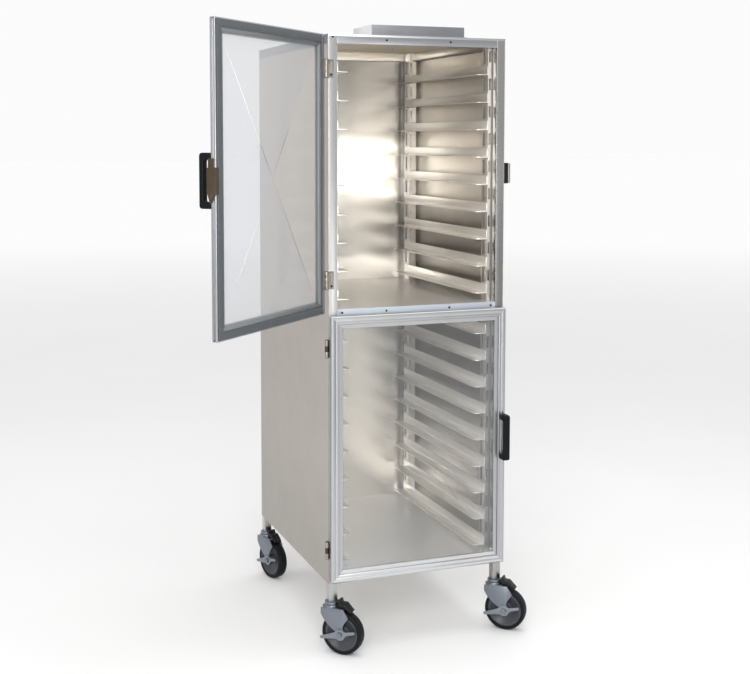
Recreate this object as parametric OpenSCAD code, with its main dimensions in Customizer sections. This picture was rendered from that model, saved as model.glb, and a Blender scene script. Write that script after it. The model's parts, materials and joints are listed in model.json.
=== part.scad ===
// Mobile proofing cabinet: a square-tube frame in sheet-metal skins, two bays of
// pan slides behind two glazed doors, on four braked swivel casters.
// Millimetres. +Z is up, the doors face -Y, and the origin is on the floor under
// the centre of the cabinet body. The upper door stands open in the rest pose.

/* [Cabinet] */
// Width over the side skins
cabinet_w = 560; // [480:1:720]
// Depth over the front posts and the back skin
cabinet_d = 712; // [560:1:860]
// Height from the floor to the roof
cabinet_h = 1803; // [1400:1:2200]
// Height from the floor to the underside of the body
body_base = 206; // [190:1:260]
// Height from the floor to the top of the dividing shelf
divider_top = 1016; // [800:1:1200]

/* [Frame] */
// Side of the square frame tube
tube = 25.4; // [20:0.1:32]
// Wall of the frame tube
tube_wall = 2; // [1.2:0.1:3]
// Thickness of the side, back and roof skins
skin_t = 1.6; // [1:0.1:2.5]
// Thickness of the floor pan and the dividing shelf
shelf_t = 1.5; // [1:0.1:2.5]
// Depth of the flange that the roof turns down over the sides and back
roof_flange = 28; // [15:1:40]
// Height of the lip that the roof turns down over the front rail
roof_lip = 6; // [3:0.5:10]
// Thickness of the roof lip and of the strip on the middle rail
trim_t = 1.2; // [0.8:0.1:1.5]

/* [Pan slides] */
// Pairs of slides in each bay
slide_count = 9; // [4:1:9]
// Height from one slide to the next
slide_pitch = 82.4; // [60:0.1:84]
// Height of the lowest ledge above the floor of its bay
slide_first = 24; // [12:1:40]
// Width of the ledge that a pan rests on
ledge_w = 38; // [25:1:50]
// Height of the slide's upright leg
slide_h = 26; // [15:1:35]
// Thickness of the slide's sheet
slide_t = 2; // [1.5:0.1:3]
// Radius of the ledge's front inner corner
ledge_r = 14; // [4:1:20]
// Width of the upright channels that carry the slides
upright_w = 38; // [25:1:50]
// Depth of the upright channels
upright_d = 13; // [8:1:20]
// Sheet thickness of the upright channels
upright_t = 1.5; // [1:0.1:2.5]
// Gap between a post and the upright beside it
upright_gap = 7; // [3:1:15]

/* [Doors] */
// Thickness of the door frame
door_t = 18; // [14:0.5:25]
// Gap between the back of a closed door and the frame
door_gap = 6; // [4.5:0.1:8]
// Step from the underside of the body up to the lower door
door_base_step = 8; // [2:1:12]
// Gap between the two doors
door_split = 6; // [3:0.5:8]
// Step from the roof down to the upper door
door_top_step = 2; // [0.5:0.5:6]
// Width of the full-thickness band round a door
band_w = 25; // [22:0.5:35]
// Wall of the hollow band
band_wall = 1.6; // [1.2:0.1:3]
// Width of the recessed lip inside the band
lip_w = 12.5; // [8:0.5:20]
// Thickness of that lip
lip_t = 3; // [2:0.1:4]
// Step from the door's outer face back to the lip
lip_recess = 4; // [2:0.5:6]
// Thickness of the clear window
window_t = 3; // [2:0.5:5]
// Width of the bead that holds the window
bead_w = 9; // [6:0.5:11]
// Width of the flat gasket on the door's band
gasket_w = 20; // [8:0.5:21]
// Distance from the door's edge to the gasket
gasket_inset = 3.5; // [2:0.5:6]
// Angle at which the upper door stands open in the rest pose
upper_door_open = 137; // [0:1:200]

/* [Hinges] */
// Height of a hinge
hinge_h = 51; // [38:1:70]
// Distance from the door's end to the middle of its hinge
hinge_inset = 96; // [60:1:150]
// Outer radius of the knuckles
knuckle_r = 5.7; // [4.5:0.1:6]
// Radius of the hinge pin
pin_r = 2.5; // [2:0.1:3]
// Thickness of a hinge leaf
leaf_t = 2; // [1.5:0.1:2]
// Width of a hinge leaf on its door or post
leaf_w = 16; // [12:0.5:17]

/* [Handles and latches] */
// Height of a handle
handle_h = 138; // [110:1:180]
// How far a handle stands out from the door
handle_out = 33; // [28:1:50]
// Width of the grip across the door
handle_w = 19; // [14:1:22]
// Thickness of the grip bar
grip_t = 13; // [8:1:14]
// Height of a foot of the handle
handle_foot = 17; // [12:1:25]
// Outer corner radius of the handle
handle_r = 8; // [4:1:10]
// Height of the latch case on the door's edge
latch_h = 66; // [50:1:80]
// How far the latch case stands out from the door's edge
latch_out = 14; // [10:1:24]
// How far the latch case reaches back past the face of the posts
latch_rear = 2; // [0.5:0.5:5]
// Height of the strike on the post
strike_h = 62; // [45:1:75]
// How far the black body of the strike stands out from the cabinet's side
strike_out = 15; // [10:1:20]
// Thickness of the metal cover on the strike
strike_cover_t = 7; // [3:0.5:9]
// Depth of the strike from front to back
strike_d = 30; // [20:1:40]

/* [Casters] */
// Radius of the wheel
wheel_r = 63.5; // [50:0.5:65]
// Width of the tread
tread_w = 32; // [24:1:34]
// Radial depth of the tyre
tyre_depth = 11; // [7:0.5:14]
// Distance from the swivel axis to the axle
trail = 37; // [28:0.5:40]
// Height from the floor to the foot of the post
caster_h = 156; // [155:0.5:170]
// Thickness of the fork plate
fork_t = 3; // [2.5:0.1:4]
// Clear width inside the fork
fork_gap = 39; // [38:0.5:44]
// Radius of the axle
axle_r = 4.75; // [4:0.05:6]
// Radius of the king pin that the fork turns on
king_r = 6; // [5:0.5:7]
// Thickness of the brake lever
lever_t = 2.5; // [2:0.1:3]
// Length of the brake lever's front arm
lever_front = 71; // [50:1:72]
// Length of the brake lever's rear arm
lever_rear = 54; // [40:1:60]
// Downward tilt of the front arm
lever_tilt = 15; // [5:1:20]
// Direction each wheel trails in: front left, front right, rear left, rear right
trail_angles = [-46, -43.5, -72, -60];

/* [Roof vent] */
// Width of the vent hood
hood_w = 293; // [200:1:330]
// Depth of the vent hood from front to back
hood_d = 150; // [100:1:200]
// Height of the vent hood
hood_h = 30; // [20:1:45]
// Sheet thickness of the vent hood
hood_t = 1.5; // [1:0.1:2.5]
// Width of the flange on each side of the hood
hood_flange = 9; // [6:1:20]

/* [Hidden] */
$fn = 48;
bite = 1; // how far a cutting tool runs past what it cuts
run_gap = 0.05; // radial clearance of a turning pin
seat_gap = 0.3; // clearance between faces that move past each other

// Finishes
steel = [0.74, 0.74, 0.75];
bright = [0.82, 0.83, 0.85];
warm = [0.72, 0.70, 0.67];
black = [0.10, 0.11, 0.12];
rubber = [0.13, 0.14, 0.17];
zinc = [0.55, 0.58, 0.62];
clear = [0.80, 0.88, 0.92, 0.35];
bronze = [0.45, 0.40, 0.36];

// Planes of the body
left = -cabinet_w / 2;
right = cabinet_w / 2;
front = -cabinet_d / 2;
rear = cabinet_d / 2;
post_out = right - skin_t;
post_in = post_out - tube;
post_rear = rear - skin_t;
roof_under = cabinet_h - skin_t;
flange_base = cabinet_h - roof_flange;
floor_top = body_base + tube + shelf_t;
bay_floors = [floor_top, divider_top];
bay_tops = [divider_top - shelf_t, roof_under];
rail_bases = [body_base, divider_top - shelf_t - tube, roof_under - tube];

// Pan slides
upright_face = post_in - upright_d;
upright_starts = [
    front + tube + upright_gap,
    post_rear - tube - upright_gap - upright_w
];
slide_start = front + tube + upright_gap - seat_gap;
slide_end = post_rear - tube - upright_gap;

// Doors
door_w = cabinet_w;
door_back = front - door_gap;
outer_face = door_back - door_t;
lip_back = door_t - lip_recess - lip_t;
frame_w = band_w + lip_w;
lower_door_base = body_base + door_base_step;
lower_door_top = divider_top - trim_t - tube / 2 - door_split / 2;
upper_door_base = lower_door_top + door_split;
upper_door_top = cabinet_h - door_top_step;
lower_door_h = lower_door_top - lower_door_base;
upper_door_h = upper_door_top - upper_door_base;
gasket_t = door_gap - trim_t - seat_gap;
window_edge = band_w + 1;

// Hinges: the pins stand just outside the left skin, midway in the door gap
hinge_x = left - knuckle_r - seat_gap;
hinge_y = front - door_gap / 2;
knuckle_h = (hinge_h - 2 * seat_gap) / 3;
hinge_heights = [
    lower_door_base + hinge_inset, lower_door_top - hinge_inset,
    upper_door_base + hinge_inset, upper_door_top - hinge_inset
];
gasket_hinge_inset = leaf_w + 2;
gasket_inner = gasket_inset + gasket_w;
gasket_hinge_inner = max(gasket_inner, gasket_hinge_inset + gasket_inset);

// Latches
latch_heights = [
    (lower_door_base + lower_door_top) / 2, (upper_door_base + upper_door_top) / 2
];
latch_lap = 0.5; // how far the latch case stands proud of the door's outer face
latch_d = latch_lap + door_t + door_gap + latch_rear;
strike_front = front + latch_rear + seat_gap;
latch_tab_h = 22;
latch_tab_d = 20;
latch_foot_h = 22;
handle_edge = 1; // from the door's free edge to the handle

// Casters
front_left = 0;
front_right = 1;
rear_left = 2;
rear_right = 3;
caster_x = post_in + tube / 2;
caster_places = [
    [-caster_x, front + tube / 2], [caster_x, front + tube / 2],
    [-caster_x, post_rear - tube / 2], [caster_x, post_rear - tube / 2]
];
foot_t = 3;
race_h = 7;
race_r = 21;
crown_top = caster_h - foot_t - race_h - seat_gap;
cup_h = 7;
cup_r = 23;
plate_top = crown_top - cup_h;
plate_out = fork_gap / 2 + fork_t;
fork_toe = -26;
fork_heel = 46;
fork_tip_r = 16;
hub_half = fork_gap / 2 - seat_gap;
bolt_head = 5;

// Screws
screw_r = 2.4;
screw_head = 1;
screw_shank_r = 1.4;
screw_shank = 2.6;
sill_screw_z = divider_top - trim_t - 9.5;
sill_screws = [-0.85, -0.36, 0.36, 0.85];

// A box from its lowest to its highest corner
module block(low, high) {
    translate(low) cube(high - low);
}

// A square tube along X, Y or Z that starts at a corner and runs for a length
module tube_x(start, len) {
    difference() {
        translate(start) cube([len, tube, tube]);
        translate(start + [-bite, tube_wall, tube_wall])
            cube([len + 2 * bite, tube - 2 * tube_wall, tube - 2 * tube_wall]);
    }
}

module tube_y(start, len) {
    difference() {
        translate(start) cube([tube, len, tube]);
        translate(start + [tube_wall, -bite, tube_wall])
            cube([tube - 2 * tube_wall, len + 2 * bite, tube - 2 * tube_wall]);
    }
}

module tube_z(start, len) {
    difference() {
        translate(start) cube([tube, tube, len]);
        translate(start + [tube_wall, tube_wall, -bite])
            cube([tube - 2 * tube_wall, tube - 2 * tube_wall, len + 2 * bite]);
    }
}

// Mirrors what is drawn for the left side to the right side
module right_hand() {
    mirror([1, 0, 0]) children();
}

// ---------------------------------------------------------------- frame

module post(x, y) {
    tube_z([x, y, caster_h], roof_under - caster_h);
}

module front_left_post() {
    color(steel) post(-post_out, front);
}

module front_right_post() {
    color(steel) post(post_in, front);
}

module rear_left_post() {
    color(steel) post(-post_out, post_rear - tube);
}

module rear_right_post() {
    color(steel) post(post_in, post_rear - tube);
}

module cross_rails(y) {
    for (z = rail_bases) tube_x([-post_in, y, z], 2 * post_in);
}

module front_rails() {
    color(bright) cross_rails(front);
}

module rear_rails() {
    color(bright) cross_rails(post_rear - tube);
}

module side_rails() {
    for (z = rail_bases)
        tube_y([-post_out, front + tube, z], post_rear - front - 2 * tube);
}

module left_side_rails() {
    color(bright) side_rails();
}

module right_side_rails() {
    color(bright) right_hand() side_rails();
}

// ---------------------------------------------------------------- skins

module side_skin() {
    block([left, front, body_base], [-post_out, rear, flange_base]);
}

module left_side_panel() {
    color(warm) side_skin();
}

module right_side_panel() {
    color(warm) right_hand() side_skin();
}

module back_panel() {
    color(warm) block([-post_out, post_rear, body_base], [post_out, rear, flange_base]);
}

// A cap with flanges down both sides and the back, a lip over the front rail
// and three vent slots under the hood
module roof_panel() {
    slot_l = hood_w * 0.6;
    slot_w = 8;
    slot_step = 28;
    color(warm) difference() {
        block([left, front - trim_t, flange_base], [right, rear, cabinet_h]);
        block([-post_out, front, flange_base - bite], [post_out, post_rear, roof_under]);
        block([left - bite, front - trim_t - bite, flange_base - bite],
              [right + bite, front, cabinet_h - roof_lip]);
        for (i = [-1:1])
            translate([-slot_l / 2, front + hood_d / 2 + i * slot_step, roof_under - bite])
                cube([slot_l, slot_w, skin_t + 2 * bite]);
    }
}

// A sheet laid on the rails and notched round the four posts
module shelf_sheet(z) {
    difference() {
        block([-post_out, front, z], [post_out, post_rear, z + shelf_t]);
        for (x = [-post_out - bite, post_in])
            for (y = [front - bite, post_rear - tube])
                translate([x, y, z - bite])
                    cube([tube + bite, tube + bite, shelf_t + 2 * bite]);
    }
}

module floor_pan() {
    color(warm) shelf_sheet(floor_top - shelf_t);
}

module divider_shelf() {
    color(warm) shelf_sheet(divider_top - shelf_t);
}

// A strip screwed to the front of the middle rail, which both doors close on
module sill_strip() {
    color(bright) difference() {
        block([-post_in, front - trim_t, rail_bases[1]], [post_in, front, divider_top]);
        for (k = sill_screws)
            translate([k * cabinet_w / 2, front, sill_screw_z])
                rotate([90, 0, 0]) cylinder(r = screw_shank_r, h = 3 * trim_t, center = true);
    }
}

// A pan-head screw whose head sits on a plane facing -Y
module screw() {
    rotate([90, 0, 0]) cylinder(r = screw_r, h = screw_head);
    rotate([-90, 0, 0]) cylinder(r = screw_shank_r - run_gap, h = trim_t);
}

// A pan-head screw with no more than its head showing
module screw_cap() {
    rotate([90, 0, 0]) cylinder(r = screw_r, h = screw_head);
}

module frame_screws() {
    ceiling_x = 105;
    ceiling_y = 110;
    color(zinc) {
        for (k = sill_screws)
            translate([k * cabinet_w / 2, front - trim_t, sill_screw_z]) screw();
        for (k = [sill_screws[1], sill_screws[2]])
            translate([k * cabinet_w / 2, front, roof_under - tube / 2]) screw_cap();
        translate([left + tube / 2 + skin_t, front, cabinet_h - roof_lip - screw_r])
            screw_cap();
        for (x = [-ceiling_x, ceiling_x])
            translate([x, ceiling_y, roof_under - screw_head])
                cylinder(r = screw_r, h = screw_head);
    }
}

// ---------------------------------------------------------------- pan slides

// A channel that stands on the floor of its bay, open towards the skin
module upright(y, low, high) {
    difference() {
        block([-post_in, y, low], [-upright_face, y + upright_w, high]);
        block([-post_in - bite, y + upright_t, low - bite],
              [-upright_face - upright_t, y + upright_w - upright_t, high + bite]);
    }
}

module side_uprights() {
    for (bay = [0, 1])
        for (y = upright_starts) upright(y, bay_floors[bay], bay_tops[bay]);
}

module left_uprights() {
    color(steel) side_uprights();
}

module right_uprights() {
    color(steel) right_hand() side_uprights();
}

// An angle with its leg against the uprights and its ledge at the bottom
module slide_angle(z) {
    leg = -upright_face;
    tip = leg + ledge_w;
    block([leg, slide_start, z - slide_t], [leg + slide_t, slide_end, z + slide_h]);
    difference() {
        block([leg + slide_t / 2, slide_start, z - slide_t], [tip, slide_end, z]);
        difference() {
            translate([tip - ledge_r, slide_start - bite, z - slide_t - bite])
                cube([ledge_r + bite, ledge_r + bite, slide_t + 2 * bite]);
            translate([tip - ledge_r, slide_start + ledge_r, z - slide_t - 2 * bite])
                cylinder(r = ledge_r, h = slide_t + 4 * bite);
        }
    }
}

module side_slides() {
    for (bay_floor = bay_floors)
        for (i = [0:slide_count - 1])
            slide_angle(bay_floor + slide_first + i * slide_pitch);
}

module left_slides() {
    color(bright) side_slides();
}

module right_slides() {
    color(bright) right_hand() side_slides();
}

// ---------------------------------------------------------------- roof vent

// A sheet-metal hood, open to the back, on two side flanges
module vent_hood() {
    setback = 4;
    vent_mouth = 22;
    color(steel) translate([-hood_w / 2, front + setback, cabinet_h]) {
        difference() {
            cube([hood_w, hood_d, hood_h]);
            translate([hood_t, hood_t, -bite])
                cube([hood_w - 2 * hood_t, hood_d - 2 * hood_t, hood_h - hood_t + bite]);
            translate([2 * hood_flange, hood_d - 2 * hood_t, hood_h - vent_mouth - 2 * hood_t])
                cube([hood_w - 4 * hood_flange, 3 * hood_t, vent_mouth]);
        }
        for (x = [-hood_flange, hood_w])
            translate([x, 0, 0]) cube([hood_flange, hood_d, hood_t]);
    }
}

// ---------------------------------------------------------------- hinges

// The part of a hinge that its pin runs in, centred on a height
module knuckle(z) {
    translate([0, 0, z - knuckle_h / 2]) cylinder(r = knuckle_r, h = knuckle_h);
}

// A hinge leaf with its knuckles at the given heights, about its own pin.
// low_y and high_y are the faces of its plate.
module hinge_leaf(low_y, high_y, knuckles) {
    reach = left - hinge_x;
    difference() {
        union() {
            block([reach, low_y, -hinge_h / 2], [reach + leaf_w, high_y, hinge_h / 2]);
            for (z = knuckles) {
                knuckle(z);
                block([0, low_y, z - knuckle_h / 2], [reach, high_y, z + knuckle_h / 2]);
            }
        }
        for (z = knuckles)
            translate([0, 0, z - hinge_h / 2])
                cylinder(r = pin_r + run_gap, h = hinge_h);
        for (z = [-1, 1] * hinge_h / 3)
            translate([reach + leaf_w / 2, low_y - bite, z])
                rotate([-90, 0, 0]) cylinder(r = screw_shank_r, h = leaf_t + 2 * bite);
    }
}

module post_hinge_leaves() {
    end_knuckles = [-1, 1] * (knuckle_h + seat_gap);
    color(bronze) for (z = hinge_heights)
        translate([hinge_x, hinge_y, z])
            hinge_leaf(door_gap / 2 - leaf_t, door_gap / 2, end_knuckles);
}

module hinge_pins() {
    cap_r = knuckle_r - 1.2;
    cap_h = 1.5;
    color(steel) for (z = hinge_heights)
        translate([hinge_x, hinge_y, z]) {
            cylinder(r = pin_r, h = hinge_h, center = true);
            for (s = [-1, 1])
                translate([0, 0, s * (hinge_h + cap_h) / 2])
                    cylinder(r = cap_r, h = cap_h, center = true);
        }
}

// ---------------------------------------------------------------- doors

// Places a door drawn flat: u across from the hinge edge, v up, and w outwards
// from the back face
module door_at(base) {
    translate([left, door_back, base]) rotate([90, 0, 0]) children();
}

// Swings what it draws about the hinge pins to the rest angle of the upper door
module swung_open() {
    translate([hinge_x, hinge_y, 0]) rotate([0, 0, -upper_door_open])
        translate([-hinge_x, -hinge_y, 0]) children();
}

// The section of a frame member: a hollow band with a recessed lip
module member_section() {
    difference() {
        union() {
            square([band_w, door_t]);
            translate([band_w - band_wall, lip_back]) square([lip_w + band_wall, lip_t]);
        }
        translate([band_wall, band_wall])
            square([band_w - 2 * band_wall, door_t - 2 * band_wall]);
    }
}

// The section of the bead that holds the window from behind
module bead_section() {
    translate([band_w, 0]) square([bead_w, lip_back - window_t]);
}

// A bar along u with the given section, mitred at both ends from low to high.
// joint is the gap that each mitre leaves: none where the corner is welded.
module mitred_bar(len, low, high, joint) {
    intersection() {
        rotate([90, 0, 90]) linear_extrude(height = len) children();
        translate([0, 0, -bite]) linear_extrude(height = door_t + 2 * bite)
            polygon([
                [low + joint, low], [len - low - joint, low],
                [len - high - joint, high], [high + joint, high]
            ]);
    }
}

// Four bars round a door, with the section drawn as a child
module mitred_ring(h, low, high, joint) {
    mitred_bar(door_w, low, high, joint) children();
    translate([0, h, 0]) mirror([0, 1, 0]) mitred_bar(door_w, low, high, joint) children();
    mirror([1, -1, 0]) mitred_bar(h, low, high, joint) children();
    translate([door_w, 0, 0]) mirror([1, 0, 0]) mirror([1, -1, 0])
        mitred_bar(h, low, high, joint) children();
}

module door_frame(h) {
    mitred_ring(h, 0, frame_w, 0) member_section();
}

module door_beads(h) {
    mitred_ring(h, band_w, band_w + bead_w, run_gap) bead_section();
}

module door_window(h) {
    block([window_edge, window_edge, lip_back - window_t],
          [door_w - window_edge, h - window_edge, lip_back]);
}

// A flat ring, cut back along the hinge edge, where it clears the leaves
module door_gasket(h) {
    difference() {
        block([gasket_hinge_inset, gasket_inset, -gasket_t],
              [door_w - gasket_inset, h - gasket_inset, 0]);
        block([gasket_hinge_inner, gasket_inner, -gasket_t - bite],
              [door_w - gasket_inner, h - gasket_inner, bite]);
    }
}

module door_leaves(heights) {
    for (z = heights)
        translate([hinge_x, hinge_y, z])
            hinge_leaf(-door_gap / 2, -door_gap / 2 + leaf_t, [0]);
}

// The outline of a handle in side view, from the door's face outwards
module handle_outline() {
    r = handle_r;
    inner_r = 5;
    gap_out = handle_out - grip_t;
    gap_half = handle_h / 2 - handle_foot;
    difference() {
        union() {
            translate([0, -handle_h / 2]) square([handle_out - r, handle_h]);
            translate([0, -handle_h / 2 + r]) square([handle_out, handle_h - 2 * r]);
            for (s = [-1, 1])
                translate([handle_out - r, s * (handle_h / 2 - r)]) circle(r = r);
        }
        translate([-bite, -gap_half]) square([gap_out - inner_r + bite, 2 * gap_half]);
        translate([-bite, -gap_half + inner_r])
            square([gap_out + bite, 2 * (gap_half - inner_r)]);
        for (s = [-1, 1])
            translate([gap_out - inner_r, s * (gap_half - inner_r)]) circle(r = inner_r);
    }
}

module door_handle(z) {
    translate([right - handle_edge, outer_face, z])
        rotate([0, 0, -90]) rotate([90, 0, 0]) linear_extrude(height = handle_w)
            handle_outline();
}

// A latch case on the door's free edge, with a tab above and a wedge below. Behind
// the door it stands clear of the cabinet's side.
module door_latch(z) {
    tab_out = latch_out * 0.6;
    wedge_out = latch_out * 0.8;
    wedge_lead = 6;
    wedge_end = door_t + latch_lap;
    translate([right, outer_face - latch_lap, z]) {
        block([0, 0, -latch_h / 2], [latch_out, wedge_end, latch_h / 2]);
        block([seat_gap, 0, -latch_h / 2], [latch_out, latch_d, latch_h / 2]);
        block([0, latch_lap, latch_h / 2],
              [tab_out, latch_lap + latch_tab_d - door_gap, latch_h / 2 + latch_tab_h]);
        translate([0, 0, -latch_h / 2]) rotate([90, 0, 90])
            linear_extrude(height = wedge_out)
                polygon([[latch_lap, 0], [latch_lap + wedge_lead, -latch_foot_h],
                         [wedge_end, 0]]);
    }
}

module latch_strikes() {
    color(black) for (z = latch_heights)
        block([right, strike_front, z - strike_h / 2],
              [right + strike_out, strike_front + strike_d, z + strike_h / 2]);
}

module strike_covers() {
    trim = 1.5;
    color(steel) for (z = latch_heights)
        block([right + strike_out, strike_front, z - strike_h / 2 + trim],
              [right + strike_out + strike_cover_t, strike_front + strike_d,
               z + strike_h / 2 - trim]);
}

upper_hinges = [hinge_heights[2], hinge_heights[3]];
lower_hinges = [hinge_heights[0], hinge_heights[1]];

module upper_door_frame() {
    color(bright) swung_open() door_at(upper_door_base) door_frame(upper_door_h);
}

module upper_door_window() {
    color(clear) swung_open() door_at(upper_door_base) door_window(upper_door_h);
}

module upper_door_beads() {
    color(zinc) swung_open() door_at(upper_door_base) door_beads(upper_door_h);
}

module upper_door_gasket() {
    color(black) swung_open() door_at(upper_door_base) door_gasket(upper_door_h);
}

module upper_door_hinge_leaves() {
    color(bronze) swung_open() door_leaves(upper_hinges);
}

module upper_door_handle() {
    color(black) swung_open() door_handle(latch_heights[1]);
}

module upper_door_latch() {
    color(bronze) swung_open() door_latch(latch_heights[1]);
}

module lower_door_frame() {
    color(bright) door_at(lower_door_base) door_frame(lower_door_h);
}

module lower_door_window() {
    color(clear) door_at(lower_door_base) door_window(lower_door_h);
}

module lower_door_beads() {
    color(zinc) door_at(lower_door_base) door_beads(lower_door_h);
}

module lower_door_gasket() {
    color(black) door_at(lower_door_base) door_gasket(lower_door_h);
}

module lower_door_hinge_leaves() {
    color(bronze) door_leaves(lower_hinges);
}

module lower_door_handle() {
    color(black) door_handle(latch_heights[0]);
}

module lower_door_latch() {
    color(bronze) door_latch(latch_heights[0]);
}

// ---------------------------------------------------------------- casters

// Places a caster drawn about its swivel axis, with its wheel trailing along +X
module caster_at(i) {
    translate(concat(caster_places[i], 0)) rotate([0, 0, trail_angles[i]]) children();
}

// A plug in the foot of each post, with the king pin and the upper race
module caster_stems() {
    plug_h = 40;
    plug_w = tube - 2 * tube_wall - 2 * run_gap;
    king_head_r = king_r + 4;
    king_head_h = 3;
    king_foot = plate_top - fork_t - seat_gap - king_head_h;
    color(steel) for (place = caster_places)
        translate(concat(place, 0)) {
            translate([-plug_w / 2, -plug_w / 2, caster_h])
                cube([plug_w, plug_w, plug_h]);
            translate([-tube / 2, -tube / 2, caster_h - foot_t]) cube([tube, tube, foot_t]);
            translate([0, 0, caster_h - foot_t - race_h]) cylinder(r = race_r, h = race_h);
            translate([0, 0, king_foot]) cylinder(r = king_head_r, h = king_head_h);
            translate([0, 0, king_foot]) cylinder(r = king_r, h = caster_h - king_foot);
        }
}

// The side view of the fork: wide at the crown and narrow at the axle
module fork_side() {
    shoulder = [fork_heel + 16, plate_top - 27];
    nose = [fork_toe - 2, plate_top - 20];
    tip = fork_tip_r - 1;
    polygon([
        [fork_toe, plate_top], [fork_heel, plate_top], shoulder,
        [trail + tip, wheel_r + 6], [trail, wheel_r], [trail - tip, wheel_r + 3], nose
    ]);
    translate([trail, wheel_r]) circle(r = fork_tip_r);
}

module fork_plate() {
    difference() {
        union() {
            for (y = [plate_out, -plate_out + fork_t])
                translate([0, y, 0]) rotate([90, 0, 0])
                    linear_extrude(height = fork_t) fork_side();
            block([fork_toe, -plate_out, plate_top - fork_t],
                  [fork_heel, plate_out, plate_top]);
            translate([0, 0, plate_top]) cylinder(r = cup_r, h = cup_h);
        }
        translate([0, 0, plate_top - fork_t - bite])
            cylinder(r = king_r + run_gap, h = fork_t + cup_h + 2 * bite);
        translate([trail, 0, wheel_r]) rotate([90, 0, 0])
            cylinder(r = axle_r + run_gap, h = 2 * plate_out + 2 * bite, center = true);
    }
}

// The axle bolt: a hexagon head outside the brake lever and a nut behind
module axle_bolt() {
    head_r = 8.5;
    head_face = plate_out + lever_t + 2 * seat_gap;
    nut_face = plate_out + run_gap;
    translate([trail, 0, wheel_r]) rotate([90, 0, 0]) {
        translate([0, 0, -nut_face]) cylinder(r = axle_r, h = nut_face + head_face);
        translate([0, 0, head_face]) cylinder(r = head_r, h = bolt_head, $fn = 6);
        translate([0, 0, -nut_face - bolt_head]) cylinder(r = head_r, h = bolt_head, $fn = 6);
    }
}

module fork() {
    color(zinc) fork_plate();
    color(steel) axle_bolt();
}

// The wheel's core: a rim, a dished web and a boss that runs on the axle
module hub() {
    rim_r = wheel_r - tyre_depth;
    rim_w = tread_w / 2 - 2;
    boss_r = 15;
    web_half = 5;
    color(zinc) translate([trail, 0, wheel_r]) rotate([90, 0, 0]) rotate_extrude()
        polygon([
            [axle_r + run_gap, -hub_half], [boss_r, -hub_half], [boss_r + 3, -web_half],
            [rim_r - 14, -web_half], [rim_r - 4, -rim_w], [rim_r, -rim_w],
            [rim_r, rim_w], [rim_r - 4, rim_w], [rim_r - 14, web_half],
            [boss_r + 3, web_half], [boss_r, hub_half], [axle_r + run_gap, hub_half]
        ]);
}

// A tyre with rounded shoulders
module tyre() {
    shoulder_r = 4;
    inner = wheel_r - tyre_depth;
    half = tread_w / 2;
    color(rubber) translate([trail, 0, wheel_r]) rotate([90, 0, 0]) rotate_extrude() {
        translate([inner, -half]) square([tyre_depth - shoulder_r, tread_w]);
        translate([inner, shoulder_r - half])
            square([tyre_depth, tread_w - 2 * shoulder_r]);
        for (s = [-1, 1])
            translate([wheel_r - shoulder_r, s * (half - shoulder_r)])
                circle(r = shoulder_r);
    }
}

// A double-ended lever that turns on the axle, outside the fork
module brake_lever() {
    eye_r = 9;
    arm_w = 9;
    tip_w = 14;
    tip_l = 18;
    color(steel) translate([trail, -plate_out - seat_gap, wheel_r])
        rotate([0, -lever_tilt, 0]) rotate([90, 0, 0]) linear_extrude(height = lever_t)
            difference() {
                union() {
                    circle(r = eye_r);
                    translate([-lever_front, -arm_w / 2])
                        square([lever_front + lever_rear, arm_w]);
                    translate([-lever_front, -tip_w / 2]) square([tip_l, tip_w]);
                }
                circle(r = axle_r + run_gap);
            }
}

// The brake's moulded housing on the crown of the fork, over the tread
module brake_housing() {
    half = 14;
    prong_h = 24;
    prong_w = 5;
    top = 14;
    apron = [44, -8];
    apron_end = [40, -11];
    color(black) translate([cup_r + 2, half, plate_top]) rotate([90, 0, 0])
        linear_extrude(height = 2 * half)
            polygon([
                [0, 0], [0, prong_h], [prong_w, prong_h], [prong_w + 3, top],
                [22, top], apron, apron_end, [24, 0]
            ]);
}

module front_left_fork() { caster_at(front_left) fork(); }
module front_left_hub() { caster_at(front_left) hub(); }
module front_left_tyre() { caster_at(front_left) tyre(); }
module front_left_brake_lever() { caster_at(front_left) brake_lever(); }
module front_left_brake_housing() { caster_at(front_left) brake_housing(); }

module front_right_fork() { caster_at(front_right) fork(); }
module front_right_hub() { caster_at(front_right) hub(); }
module front_right_tyre() { caster_at(front_right) tyre(); }
module front_right_brake_lever() { caster_at(front_right) brake_lever(); }
module front_right_brake_housing() { caster_at(front_right) brake_housing(); }

module rear_left_fork() { caster_at(rear_left) fork(); }
module rear_left_hub() { caster_at(rear_left) hub(); }
module rear_left_tyre() { caster_at(rear_left) tyre(); }
module rear_left_brake_lever() { caster_at(rear_left) brake_lever(); }
module rear_left_brake_housing() { caster_at(rear_left) brake_housing(); }

module rear_right_fork() { caster_at(rear_right) fork(); }
module rear_right_hub() { caster_at(rear_right) hub(); }
module rear_right_tyre() { caster_at(rear_right) tyre(); }
module rear_right_brake_lever() { caster_at(rear_right) brake_lever(); }
module rear_right_brake_housing() { caster_at(rear_right) brake_housing(); }

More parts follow.
